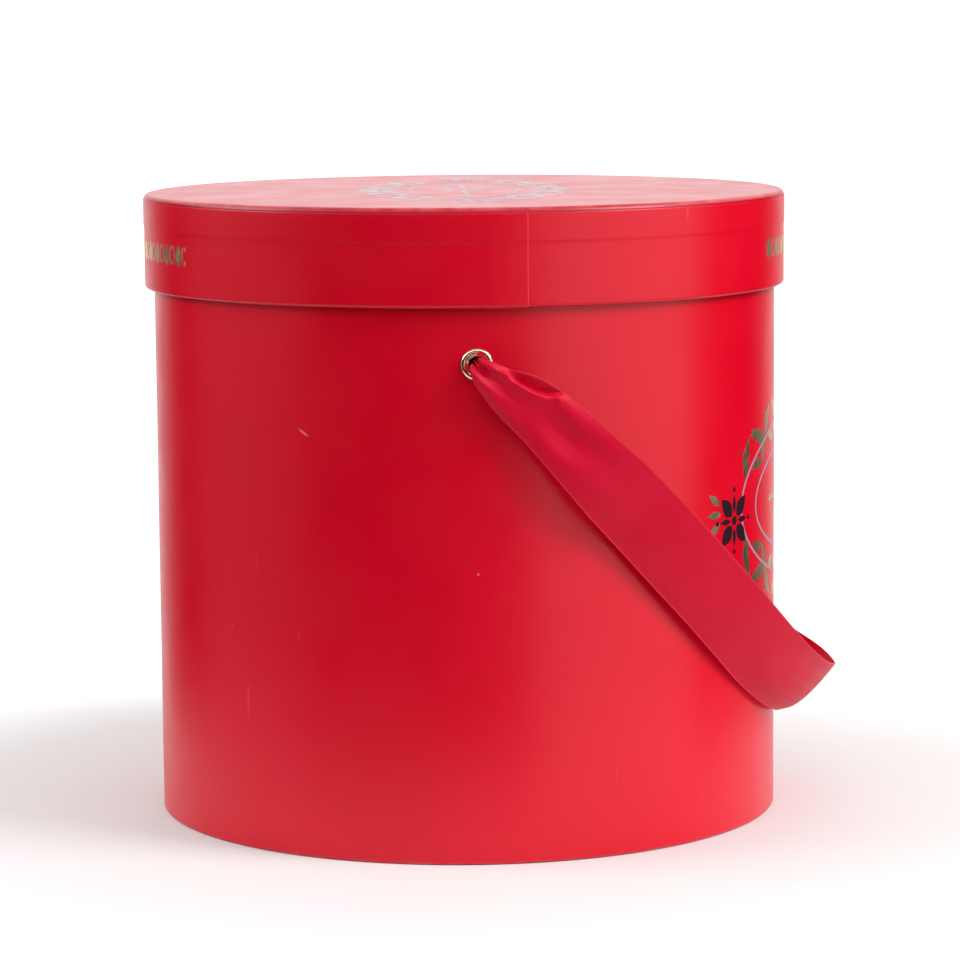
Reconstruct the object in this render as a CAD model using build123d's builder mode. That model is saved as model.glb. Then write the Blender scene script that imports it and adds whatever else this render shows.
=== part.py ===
from build123d import *
from math import asin, cos, degrees, hypot, pi, radians, sin
import os

# A round hat box of paper-covered greyboard: a tube with a bottom, a lid that lifts off, and a satin
# ribbon handle that runs from an eyelet on one side to an eyelet on the other.
# Millimetres, +Z up, origin at the centre of the underside. The eyelets lie on the Y axis, and the handle
# hangs down towards +X.

# driving dimensions
paper = 0.2
board = 2.0
total_height = 212.4
lid_radius = 110.0
body_radius = 106.6
lid_side = 31.9  # height of the lid's side
lid_corner = 1.8  # rounding of the lid's top edge
lid_foot_corner = 1.2  # rounding of the lid's lower edge
turned_edge = 15.0  # how far a wrap is turned in over an edge
turned_under = 12.0  # how far the body wrap is turned under the foot
top_turn_down = 10.6  # from the top of the lid to the edge of the turned-down top paper
seam_width = 12.0  # overlap where a wrap's two ends meet
lid_seam_angle = -81.5  # the lid wrap's upper end, from +X towards +Y
body_seam_angle = 105.0  # the body wrap's upper end, at the back
lid_rest_gap = 0.1  # under the lid, above the rim that it rests on
edge_margin = 3.0  # from a lining's or the cover's edge to the edge of the box or lid

eyelet_height = 162.5
eyelet_bore = 2.4  # radius
eyelet_wall = 0.4
eyelet_flange = 5.2  # radius
eyelet_dome = 1.1  # how far the flange stands out
washer_radius = 4.75
washer_thickness = 0.4
clinch_radius = 3.8
clinch_thickness = 0.5

ribbon_width = 25.4
ribbon_thickness = 0.8
ribbon_stem = 2.1  # radius of the ribbon where it is gathered in the eyelet
ribbon_gathered = 8.0  # width of the ribbon just outside the eyelet
ribbon_spread = 50.0  # distance from the eyelets at which the ribbon has its full width
loop_depth = 172.0  # from the line through the eyelets to the far end of the loop
loop_radius = 111.8  # half the width of the loop at the eyelets
loop_bend = 3.2  # radius of the turn outside the eyelet
loop_straight = 40.0  # distance from the eyelets' line at which the sides of the loop begin to curve
loop_round = 76.0  # distance from which the loop is half an ellipse
loop_droop = 46.5  # degrees below level
knot_radius = 7.0
knot_tail_width = 16.0
knot_tail_length = 9.0
knot_gap = 1.0  # between a knot and the eyelet that it can't pass

# heights, from the foot up
wrap_foot = paper
tube_foot = 2 * paper
floor_top = tube_foot + board
lid_foot = total_height - lid_side
disc_top = total_height - paper
disc_foot = disc_top - board
lid_ceiling = disc_foot - paper
rim_top = lid_ceiling - lid_rest_gap
tube_top = rim_top - paper
hoop_foot = lid_foot + paper
top_wrap_foot = total_height - top_turn_down
body_turn_foot = rim_top - turned_edge
lid_turn_top = lid_foot + turned_edge

# radii, from the outside in
tube_outer = body_radius - paper
tube_inner = tube_outer - board
lining_inner = tube_inner - paper
rim_lining_inner = lining_inner - paper
top_wrap_radius = lid_radius - paper
hoop_outer = lid_radius - 2 * paper
hoop_inner = hoop_outer - board
hoop_lining_inner = hoop_inner - paper
hoop_turn_lining_inner = hoop_lining_inner - paper
foot_ring_inner = body_radius - turned_under

eyelet_hole = eyelet_bore + eyelet_wall
washer_outer_face = lining_inner * cos(asin(washer_radius / lining_inner))
washer_inner_face = washer_outer_face - washer_thickness
clinch_face = washer_inner_face - clinch_thickness
knot_face = clinch_face - knot_gap
side_to_side = 2 * lid_radius + 20.0  # longer than anything across the box
eyelet_axis = Location((0, 0, eyelet_height), (90, 0, 0))

os.makedirs("parts", exist_ok=True)


def seam_degrees(radius):
    """The angle that a wrap's overlap takes up at this radius."""
    return degrees(seam_width / radius)


def seam_plane(angle):
    """The upright plane through the Z axis at this angle from +X, its x direction pointing outwards."""
    east, north = cos(radians(angle)), sin(radians(angle))
    return Plane(origin=(0, 0, 0), x_dir=(east, north, 0), z_dir=(north, -east, 0))


# body_tube: the greyboard wall of the box, with a hole for each eyelet
with BuildPart() as body_tube:
    with BuildSketch(Plane.XY.offset(tube_foot)):
        Circle(tube_outer)
        Circle(tube_inner, mode=Mode.SUBTRACT)
    extrude(amount=tube_top - tube_foot)
    with Locations(eyelet_axis):
        Cylinder(eyelet_hole, side_to_side, mode=Mode.SUBTRACT)

# base_disc: the greyboard bottom, inside the tube
with BuildPart() as base_disc:
    with BuildSketch(Plane.XY.offset(tube_foot)):
        Circle(tube_inner)
    extrude(amount=board)

# base_cover: the paper disc on the underside, which the box rests on
with BuildPart() as base_cover:
    with BuildSketch():
        Circle(body_radius - edge_margin)
    extrude(amount=wrap_foot)
    with BuildSketch(Plane.XY.offset(wrap_foot)):
        Circle(foot_ring_inner)
    extrude(amount=tube_foot - wrap_foot)

# body_wrap: the printed paper round the box, turned under the foot and in over the rim, with its
# overlap seam at the back
with BuildPart() as body_wrap:
    with BuildSketch(Plane.XZ):
        with BuildLine():
            Polyline(
                (foot_ring_inner, wrap_foot),
                (body_radius, wrap_foot),
                (body_radius, rim_top),
                (lining_inner, rim_top),
                (lining_inner, body_turn_foot),
                (tube_inner, body_turn_foot),
                (tube_inner, tube_top),
                (tube_outer, tube_top),
                (tube_outer, tube_foot),
                (foot_ring_inner, tube_foot),
                close=True,
            )
        make_face()
    revolve(axis=Axis.Z)
    with BuildSketch(seam_plane(body_seam_angle - seam_degrees(body_radius))):
        with Locations((body_radius + paper / 2, (wrap_foot + rim_top) / 2)):
            Rectangle(paper, rim_top - wrap_foot)
    revolve(axis=Axis.Z, revolution_arc=seam_degrees(body_radius))
    with Locations(eyelet_axis):
        Cylinder(eyelet_hole, side_to_side, mode=Mode.SUBTRACT)

# wall_lining: the paper inside the wall, over the turned-in edge of the body wrap
with BuildPart() as wall_lining:
    with BuildSketch(Plane.XZ):
        with BuildLine():
            Polyline(
                (lining_inner, floor_top),
                (tube_inner, floor_top),
                (tube_inner, body_turn_foot),
                (lining_inner, body_turn_foot),
                (lining_inner, rim_top - edge_margin),
                (rim_lining_inner, rim_top - edge_margin),
                (rim_lining_inner, body_turn_foot - paper),
                (lining_inner, body_turn_foot - paper),
                close=True,
            )
        make_face()
    revolve(axis=Axis.Z)
    with Locations(eyelet_axis):
        Cylinder(eyelet_hole, side_to_side, mode=Mode.SUBTRACT)

# floor_lining: the paper on the inside bottom
with BuildPart() as floor_lining:
    with BuildSketch(Plane.XY.offset(floor_top)):
        Circle(lining_inner)
    extrude(amount=paper)

# lid_disc: the greyboard top of the lid
with BuildPart() as lid_disc:
    with BuildSketch(Plane.XY.offset(disc_foot)):
        Circle(hoop_inner)
    extrude(amount=board)

# lid_hoop: the greyboard side of the lid
with BuildPart() as lid_hoop:
    with BuildSketch(Plane.XY.offset(hoop_foot)):
        Circle(hoop_outer)
        Circle(hoop_inner, mode=Mode.SUBTRACT)
    extrude(amount=disc_top - hoop_foot)
    fillet(lid_hoop.edges().group_by(Axis.Z)[-1].sort_by(SortBy.LENGTH)[-1], lid_corner - paper)
    fillet(lid_hoop.edges().group_by(Axis.Z)[0].sort_by(SortBy.LENGTH)[-1], lid_foot_corner - paper)

# lid_top_wrap: the paper over the top of the lid, its edge turned down over the side
with BuildPart() as lid_top_wrap:
    with BuildSketch(Plane.XZ) as top_wrap_outline:
        with BuildLine():
            Polyline(
                (0, disc_top),
                (hoop_outer, disc_top),
                (hoop_outer, top_wrap_foot),
                (top_wrap_radius, top_wrap_foot),
                (top_wrap_radius, total_height),
                (0, total_height),
                close=True,
            )
        make_face()
        corners = top_wrap_outline.vertices()
        fillet(corners.sort_by_distance((hoop_outer, disc_top))[0], lid_corner - paper)
        corners = top_wrap_outline.vertices()
        fillet(corners.sort_by_distance((top_wrap_radius, total_height))[0], lid_corner)
    revolve(axis=Axis.Z)

# lid_band_wrap: the paper round the lid's side, over the turned-down top paper and in under the
# lower edge, with its overlap seam at the front
with BuildPart() as lid_band_wrap:
    with BuildSketch(Plane.XZ) as band_outline:
        with BuildLine():
            Polyline(
                (lid_radius, total_height - lid_corner),
                (lid_radius, top_wrap_foot - paper),
                (top_wrap_radius, top_wrap_foot - paper),
                (top_wrap_radius, lid_foot),
                (hoop_lining_inner, lid_foot),
                (hoop_lining_inner, lid_turn_top),
                (hoop_inner, lid_turn_top),
                (hoop_inner, hoop_foot),
                (hoop_outer, hoop_foot),
                (hoop_outer, top_wrap_foot),
                (top_wrap_radius, top_wrap_foot),
                (top_wrap_radius, total_height - lid_corner),
                close=True,
            )
        make_face()
        corners = band_outline.vertices()
        fillet(corners.sort_by_distance((hoop_outer, hoop_foot))[0], lid_foot_corner - paper)
        corners = band_outline.vertices()
        fillet(corners.sort_by_distance((top_wrap_radius, lid_foot))[0], lid_foot_corner)
    revolve(axis=Axis.Z)
    with BuildSketch(seam_plane(lid_seam_angle - seam_degrees(lid_radius))):
        with BuildLine():
            Polyline(
                (lid_radius, total_height - lid_corner),
                (lid_radius + paper, total_height - lid_corner),
                (lid_radius + paper, top_wrap_foot - 2 * paper),
                (lid_radius, top_wrap_foot - 2 * paper),
                (lid_radius, lid_foot + lid_foot_corner),
                (top_wrap_radius, lid_foot + lid_foot_corner),
                (top_wrap_radius, top_wrap_foot - paper),
                (lid_radius, top_wrap_foot - paper),
                close=True,
            )
        make_face()
    revolve(axis=Axis.Z, revolution_arc=seam_degrees(lid_radius))

# lid_lining: the paper under the lid's top
with BuildPart() as lid_lining:
    with BuildSketch(Plane.XY.offset(lid_ceiling)):
        Circle(hoop_lining_inner)
    extrude(amount=paper)

# hoop_lining: the paper inside the lid's side, over the turned-in edge of the lid's wrap
with BuildPart() as hoop_lining:
    with BuildSketch(Plane.XZ):
        with BuildLine():
            Polyline(
                (hoop_turn_lining_inner, lid_foot + edge_margin),
                (hoop_lining_inner, lid_foot + edge_margin),
                (hoop_lining_inner, lid_turn_top),
                (hoop_inner, lid_turn_top),
                (hoop_inner, disc_foot),
                (hoop_lining_inner, disc_foot),
                (hoop_lining_inner, lid_turn_top + paper),
                (hoop_turn_lining_inner, lid_turn_top + paper),
                close=True,
            )
        make_face()
    revolve(axis=Axis.Z)


def side_plane(side):
    """The level plane at the eyelets whose x direction points out of the box: side is -1 front, 1 rear."""
    return Plane(origin=(0, 0, eyelet_height), x_dir=(0, side, 0), z_dir=(0, 0, 1))


for side, end in ((-1, "front"), (1, "rear")):
    outwards = Axis((0, 0, eyelet_height), (0, side, 0))

    # eyelet: a rolled brass rim outside, a barrel through the wall and a clinched rim inside
    with BuildPart() as eyelet:
        with BuildSketch(side_plane(side)):
            with BuildLine():
                Line((body_radius, eyelet_hole), (body_radius, eyelet_flange))
                ThreePointArc(
                    (body_radius, eyelet_flange),
                    (body_radius + eyelet_dome, (eyelet_bore + eyelet_flange) / 2),
                    (body_radius, eyelet_bore),
                )
                Polyline(
                    (body_radius, eyelet_bore),
                    (clinch_face, eyelet_bore),
                    (clinch_face, clinch_radius),
                    (washer_inner_face, clinch_radius),
                    (washer_inner_face, eyelet_hole),
                    (body_radius, eyelet_hole),
                )
            make_face()
        revolve(axis=outwards)
    eyelet.part.label = f"eyelet_{end}"
    export_step(eyelet.part, f"parts/eyelet_{end}.step")

    # eyelet washer: the flat brass ring that the eyelet is clinched over
    with BuildPart() as washer:
        with BuildSketch(side_plane(side)):
            with Locations((washer_inner_face, eyelet_hole)):
                Rectangle(washer_thickness, washer_radius - eyelet_hole, align=(Align.MIN, Align.MIN))
        revolve(axis=outwards)
    washer.part.label = f"eyelet_washer_{end}"
    export_step(washer.part, f"parts/eyelet_washer_{end}.step")

    # knot: the knotted end of the ribbon inside the box, with a short flat tail
    with BuildPart() as knot:
        with BuildSketch(side_plane(side)):
            with BuildLine():
                knot_line = Line((knot_face, 0), (knot_face - 2 * knot_radius, 0))
                ThreePointArc(knot_line @ 0, (knot_face - knot_radius, knot_radius), knot_line @ 1)
            make_face()
        revolve(axis=outwards)
        with BuildSketch(side_plane(side)):
            with Locations((knot_face - 2 * knot_radius - knot_tail_length / 3, 0)):
                Rectangle(knot_tail_length, knot_tail_width)
        extrude(amount=ribbon_thickness / 2, both=True)
    knot.part.label = f"knot_{end}"
    export_step(knot.part, f"parts/knot_{end}.step")


def loop_middle(turn):
    """A point of the middle of the ribbon's thickness, in the plane of the handle's loop.

    It is (distance from the eyelets' line, distance along it), and turn goes from 0 at the front eyelet to
    1 at the rear one.
    """
    angle = pi * (turn - 0.5)
    depth = loop_bend + (loop_depth - loop_bend) * cos(angle)
    share = min(max((depth - loop_straight) / (loop_round - loop_straight), 0), 1)
    rounding = share * share * (3 - 2 * share)
    along = loop_radius * (1 - rounding + rounding * abs(sin(angle)))
    return depth, along * (1 if angle > 0 else -1)


def loop_point(turn, outset, step=0.001):
    """The point that lies outset outside the middle of the ribbon's thickness."""
    depth, along = loop_middle(turn)
    before = loop_middle(max(turn - step, 0))
    after = loop_middle(min(turn + step, 1))
    steep = hypot(after[0] - before[0], after[1] - before[1])
    return (
        depth + outset * (after[1] - before[1]) / steep,
        along - outset * (after[0] - before[0]) / steep,
    )


def loop_edge(outset, steps=36):
    """The points of the loop's outer or inner outline, evenly spread over the turn."""
    return [loop_point(step / steps, outset) for step in range(steps + 1)]


def turn_point(side, part, outset):
    """A point of the quarter turn outside an eyelet, in the loop's own plane.

    part goes from 0 at the eyelet to 1 where the loop begins, and outset is as in loop_point.
    """
    angle = pi / 2 * part
    radius = loop_bend + outset
    return loop_bend - radius * cos(angle), side * (loop_radius - loop_bend + radius * sin(angle))


# ribbon_handle: one loop of ribbon, gathered where it comes out of each eyelet. The loop is drawn in its
# own plane, with x away from the eyelets and y along the line through them.
droop = radians(loop_droop)
loop_plane = Plane(
    origin=(0, 0, eyelet_height), x_dir=(cos(droop), 0, -sin(droop)), z_dir=(sin(droop), 0, cos(droop))
)
half = ribbon_thickness / 2
stem_end = loop_radius - loop_bend  # the middle of the ribbon's thickness where its turn begins
with BuildPart() as ribbon_handle:
    with BuildSketch(loop_plane):
        with BuildLine():
            Spline(*loop_edge(half), tangents=[(1, 0), (-1, 0)])
            Spline(*loop_edge(-half), tangents=[(1, 0), (-1, 0)])
            for side in (-1, 1):
                outer_turn = ThreePointArc(*[turn_point(side, part, half) for part in (0, 0.5, 1)])
                inner_turn = ThreePointArc(*[turn_point(side, part, -half) for part in (0, 0.5, 1)])
                Line(outer_turn @ 0, inner_turn @ 0)
        make_face()
    extrude(amount=ribbon_width / 2, both=True)
    with BuildSketch(Plane(origin=(0, 0, eyelet_height), x_dir=loop_plane.x_dir, z_dir=(0, -1, 0))):
        with BuildLine():
            Polyline(
                (-half, ribbon_gathered / 2),
                (ribbon_spread, ribbon_width / 2),
                (loop_depth + half, ribbon_width / 2),
                (loop_depth + half, -ribbon_width / 2),
                (ribbon_spread, -ribbon_width / 2),
                (-half, -ribbon_gathered / 2),
                close=True,
            )
        make_face()
    extrude(amount=side_to_side / 2, both=True, mode=Mode.INTERSECT)
    for side in (-1, 1):
        with BuildSketch(Plane(origin=(0, side * knot_face, eyelet_height), z_dir=(0, side, 0))):
            Circle(ribbon_stem)
        extrude(amount=stem_end - knot_face + half)
ribbon_handle.part.label = "ribbon_handle"
export_step(ribbon_handle.part, "parts/ribbon_handle.step")

for piece, label in (
    (body_tube, "body_tube"),
    (base_disc, "base_disc"),
    (base_cover, "base_cover"),
    (body_wrap, "body_wrap"),
    (wall_lining, "wall_lining"),
    (floor_lining, "floor_lining"),
    (lid_disc, "lid_disc"),
    (lid_hoop, "lid_hoop"),
    (lid_top_wrap, "lid_top_wrap"),
    (lid_band_wrap, "lid_band_wrap"),
    (lid_lining, "lid_lining"),
    (hoop_lining, "hoop_lining"),
):
    piece.part.label = label
    export_step(piece.part, f"parts/{label}.step")
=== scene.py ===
from math import atan2, ceil, cos, degrees, hypot, pi, radians, sin

import bmesh
import bpy
from mathutils import Matrix, Vector, noise


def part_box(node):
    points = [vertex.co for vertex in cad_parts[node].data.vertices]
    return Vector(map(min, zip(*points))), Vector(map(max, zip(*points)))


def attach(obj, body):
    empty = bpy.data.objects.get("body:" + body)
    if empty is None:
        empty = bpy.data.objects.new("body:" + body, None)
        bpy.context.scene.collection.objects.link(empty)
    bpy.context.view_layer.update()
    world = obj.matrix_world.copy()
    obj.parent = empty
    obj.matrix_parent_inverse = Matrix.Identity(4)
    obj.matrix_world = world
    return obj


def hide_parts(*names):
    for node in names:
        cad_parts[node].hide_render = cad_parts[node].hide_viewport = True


# A round paper-covered hat box with a lid and a satin ribbon handle.
# Lengths in this script are millimetres, in the frame of the CAD model, until add_mesh makes them metres.

MM = 0.001
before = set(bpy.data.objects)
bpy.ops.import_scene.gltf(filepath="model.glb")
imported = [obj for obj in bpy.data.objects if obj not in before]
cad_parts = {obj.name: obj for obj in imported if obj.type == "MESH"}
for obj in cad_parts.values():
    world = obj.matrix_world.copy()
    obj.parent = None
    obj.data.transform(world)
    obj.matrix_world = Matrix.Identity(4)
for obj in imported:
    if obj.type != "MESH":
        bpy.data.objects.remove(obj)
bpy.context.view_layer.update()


def reach(node, axis=0):
    """How far a CAD node goes along +X, +Y or +Z, in millimetres."""
    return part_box(node)[1][axis] / MM


def foot(node):
    """The lowest point of a CAD node, in millimetres."""
    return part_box(node)[0][2] / MM


# sizes, from the frame
PAPER = foot("body_wrap")
BODY_RADIUS = reach("body_wrap")
BOARD = 2.0
TUBE_INNER = BODY_RADIUS - PAPER - BOARD
RIM_TOP = reach("body_wrap", 2)
FLOOR_TOP = reach("floor_lining", 2)
LID_RADIUS = reach("lid_hoop") + 2 * PAPER
HOOP_INNER = reach("hoop_lining")
LID_TOP = reach("lid_top_wrap", 2)
LID_FOOT = foot("lid_band_wrap")
LID_CEILING = foot("lid_lining")
TOP_WRAP_FOOT = foot("lid_top_wrap")
BAND_TOP = reach("lid_band_wrap", 2)
EYELET_HEIGHT = (foot("eyelet_front") + reach("eyelet_front", 2)) / 2
EYELET_FACE = -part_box("eyelet_front")[0][1] / MM
EYELET_BACK = -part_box("eyelet_front")[1][1] / MM
KNOT_FACE = -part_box("knot_front")[0][1] / MM
EYELET_BORE = 2.4  # radius inside the eyelet
EYELET_HOLE = 2.8  # radius of the hole in the wall
EYELET_ZONE = 6.0  # how far above and below the eyelets the papers have closer rows

# wear and fit of the wraps
LID_CORNER = LID_TOP - BAND_TOP
LID_FOOT_CORNER = 1.2
FOOT_CORNER = 0.6
RIM_CORNER = 1.1
TURN_IN = 15.0  # how far the red papers are turned in over the rim and under the lid's lower edge
UNDER_FOOT = 12.0  # how far the body's paper is turned in under the box
SEAM_SPAN = 6.3  # degrees that a wrap's overlap takes up
CUT_WIDTH = 0.10  # degrees that the frayed edge of its cut end takes up
LID_SEAM = -81.5  # degrees from +X towards +Y, where the lid wrap's upper end is cut
BODY_SEAM = 105.0
FRONT, REAR = -90.0, 90.0
EYELET_WINDOWS = [(angle, EYELET_HEIGHT, EYELET_HOLE) for angle in (FRONT, REAR)]


# ---- camera

def add_camera():
    """The camera: 1.29 m in front of the box, a little above it and looking slightly down."""
    heading, dip, roll = radians(2.213), radians(7.41), radians(0.457)
    forward = Vector((sin(heading) * cos(dip), cos(heading) * cos(dip), -sin(dip)))
    level_right = Vector((cos(heading), -sin(heading), 0))
    level_up = level_right.cross(forward)
    right = level_right * cos(roll) - level_up * sin(roll)
    up = level_right * sin(roll) + level_up * cos(roll)
    data = bpy.data.cameras.new("camera")
    data.lens = 140.2
    data.sensor_width = 36
    data.clip_start = 0.05
    camera = bpy.data.objects.new("camera", data)
    turn = Matrix((right, up, -forward)).transposed().to_4x4()
    place = Vector((-0.04495, -1.28731, 0.27918))  # metres
    camera.matrix_world = Matrix.Translation(place) @ turn
    show(camera)
    bpy.context.scene.camera = camera


# ---- mesh helpers

def sheet_faces(start, rows, across):
    """Faces of a thin sheet: two layers of rows * across points from number start, closed at its edges."""
    def corner(layer, row, j):
        return start + (layer * rows + row) * across + j

    faces = []
    for row in range(rows - 1):
        for layer in (0, 1):
            for j in range(across - 1):
                faces.append((corner(layer, row, j), corner(layer, row, j + 1),
                              corner(layer, row + 1, j + 1), corner(layer, row + 1, j)))
        for j in (0, across - 1):
            faces.append((corner(0, row, j), corner(0, row + 1, j), corner(1, row + 1, j), corner(1, row, j)))
    for row in (0, rows - 1):
        for j in range(across - 1):
            faces.append((corner(0, row, j), corner(0, row, j + 1), corner(1, row, j + 1), corner(1, row, j)))
    return faces


def ring_faces(rounds, around):
    """The faces of a tube that closes on itself: rounds loops of around points."""
    return [(k * around + j, k * around + (j + 1) % around, (k + 1) % rounds * around + (j + 1) % around,
             (k + 1) % rounds * around + j) for k in range(rounds) for j in range(around)]


def show(made):
    """Put an object in the scene."""
    bpy.context.scene.collection.objects.link(made)


def add_mesh(name, points, faces, materials, body, slot, replaces=(), marks=None, sharp=40, cloth=None):
    """A smooth mesh piece from points in millimetres.

    marks gives the material number of each face, and cloth the UV place of each point, in metres.
    """
    mesh = bpy.data.meshes.new(name)
    mesh.from_pydata([Vector(p) * MM for p in points], [], faces)
    for material in materials:
        mesh.materials.append(material)
    if marks:
        mesh.polygons.foreach_set("material_index", marks)
    if cloth:
        layer = mesh.uv_layers.new(name="UVMap")
        for loop in mesh.loops:
            layer.data[loop.index].uv = cloth[loop.vertex_index]
    work = bmesh.new()
    work.from_mesh(mesh)
    bmesh.ops.remove_doubles(work, verts=work.verts, dist=1e-7)
    bmesh.ops.recalc_face_normals(work, faces=work.faces)
    work.to_mesh(mesh)
    work.free()
    mesh.shade_smooth()
    mesh.set_sharp_from_angle(angle=radians(sharp))
    piece = bpy.data.objects.new(name, mesh)
    show(piece)
    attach(piece, body)
    if replaces:
        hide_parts(*replaces)
    return piece


def smooth_step(x, start, end):
    """0 before start, 1 after end, and a smooth rise between them."""
    share = min(max((x - start) / (end - start), 0), 1)
    return share * share * (3 - 2 * share)


def arc(centre, radius, start, end, steps=6):
    """Points of an arc in a (radius, height) outline, by angles in degrees."""
    turns = [radians(start + (end - start) * k / steps) for k in range(steps + 1)]
    return [(centre[0] + radius * cos(a), centre[1] + radius * sin(a)) for a in turns]


def run(start, end, step, ended=False):
    """Evenly spaced points from start up to end, no more than step apart. end itself is there if ended."""
    count = max(1, ceil(hypot(end[0] - start[0], end[1] - start[1]) / step))
    return [(start[0] + (end[0] - start[0]) * k / count, start[1] + (end[1] - start[1]) * k / count)
            for k in range(count + ended)]


def wall_run(radius, start, end):
    """A straight wall from one height to another, with closer points beside the eyelets."""
    zone = EYELET_ZONE if end > start else -EYELET_ZONE
    near, far = (radius, EYELET_HEIGHT - zone), (radius, EYELET_HEIGHT + zone)
    return run((radius, start), near, 6) + run(near, far, 2) + run(far, (radius, end), 6)


def side_normals(path):
    """The unit normal on the right of each point of a (radius, height) path."""
    normals = []
    for k in range(len(path)):
        before, after = path[max(k - 1, 0)], path[min(k + 1, len(path) - 1)]
        dr, dz = after[0] - before[0], after[1] - before[1]
        size = hypot(dr, dz)
        normals.append((dz / size, -dr / size))
    return normals


def columns(cut=None):
    """The angles of a wrap's columns in degrees, with a pair at its cut end."""
    angles = [float(k) for k in range(-180, 180)]
    if cut is not None:
        angles = sorted(set(angles) | {cut, cut + CUT_WIDTH})
    return angles


def board_wave(x, y, z):
    """The slight unevenness of glued board, in millimetres."""
    return 0.05 * noise.noise(Vector((x, y, z)) / 42) + 0.02 * noise.noise(Vector((x, y, z)) / 15)


def add_skin(name, path, angles, lift, materials, body, slot, replaces=(), windows=()):
    """Paper glued round the box: path, of (radius, height) points, turned about the Z axis.

    The visible side is on the right of the path. lift(angle, height) is how far the paper stands off there.
    windows are (angle, height, radius) of round holes, in stretches where the path goes straight up or down.
    Faces between the two closest columns and at the path's ends get the second material, the cut edge.
    """
    normals = side_normals(path)
    rows, count = len(path), len(angles)

    def place(angle, radius, height, normal, inside):
        a = radians(angle)
        off = lift(angle, height) - (PAPER if inside else 0)
        x, y = cos(a), sin(a)
        off += board_wave(radius * x, radius * y, height) * min(1, radius / 20)
        return (x * (radius + off * normal[0]), y * (radius + off * normal[0]), height + off * normal[1])

    points = [place(a, *path[j], normals[j], side) for side in (0, 1) for j in range(rows) for a in angles]
    faces, marks = [], []

    def corner(side, row, column):
        return (side * rows + row) * count + column % count

    def add(face, mark=0):
        faces.append(face)
        marks.append(mark)

    def bridge(a, b, mark=0):
        for k in range(len(a)):
            n = (k + 1) % len(a)
            add((a[k], a[n], b[n], b[k]), mark)

    skip = set()
    for angle, height, radius in windows:
        first = min(k for k in range(count) if angles[k] >= angle - 3)
        last = max(k for k in range(count) if angles[k] <= angle + 3)
        inside = [j for j in range(rows) if abs(path[j][1] - height) < EYELET_ZONE + 0.1
                  and abs(normals[j][0]) > 0.99]
        low, high = inside[0], inside[-1]
        skip |= {(j, i) for j in range(low, high) for i in range(first, last)}
        wall, normal = path[low][0], normals[low]
        border = [(low, i) for i in range(first, last)] + [(j, last) for j in range(low, high)]
        border += [(high, i) for i in range(last, first, -1)] + [(j, first) for j in range(high, low, -1)]
        loops = {}
        for side in (0, 1):
            loops[side, 0] = [corner(side, j, i) for j, i in border]
            for ring, share in enumerate((0.6, 0.3, 0.0), start=1):
                made = []
                for j, i in border:
                    across = radians(angles[i] - angle) * wall
                    along = path[j][1] - height
                    size = hypot(across, along)
                    scale = share + (1 - share) * radius / size
                    points.append(place(angle + across * scale / wall / radians(1), wall,
                                        height + along * scale, normal, side))
                    made.append(len(points) - 1)
                loops[side, ring] = made
            for ring in range(3):
                bridge(loops[side, ring], loops[side, ring + 1])
        bridge(loops[0, 3], loops[1, 3], 1)

    for side in (0, 1):
        for j in range(rows - 1):
            for i in range(count):
                if (j, i) not in skip:
                    cut = (angles[(i + 1) % count] - angles[i]) % 360 < 2 * CUT_WIDTH
                    add((corner(side, j, i), corner(side, j, i + 1), corner(side, j + 1, i + 1),
                         corner(side, j + 1, i)), 1 if cut and side == 0 else 0)
    for j in (0, rows - 1):
        if path[j][0] > 0:
            for i in range(count):
                add((corner(0, j, i), corner(0, j, i + 1), corner(1, j, i + 1), corner(1, j, i)), 1)
    return add_mesh(name, points, faces, materials, body, slot, replaces, marks)


def flat_lift(angle, height):
    """Nothing under the paper."""
    return 0.0


def raised_lift(angle, height):
    """Up into the box, so that the unevenness of the board never takes the paper under the floor."""
    return -0.08


def overlap_lift(cut):
    """The lift of a wrap over its own other end, which lies under it for SEAM_SPAN degrees before cut."""
    def lift(angle, height):
        before = (cut - angle + 180) % 360 - 180
        if before < 0:
            return 0.0
        return PAPER * smooth_step(-before, -SEAM_SPAN - 0.9, -SEAM_SPAN)
    return lift


# ---- material helpers

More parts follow.
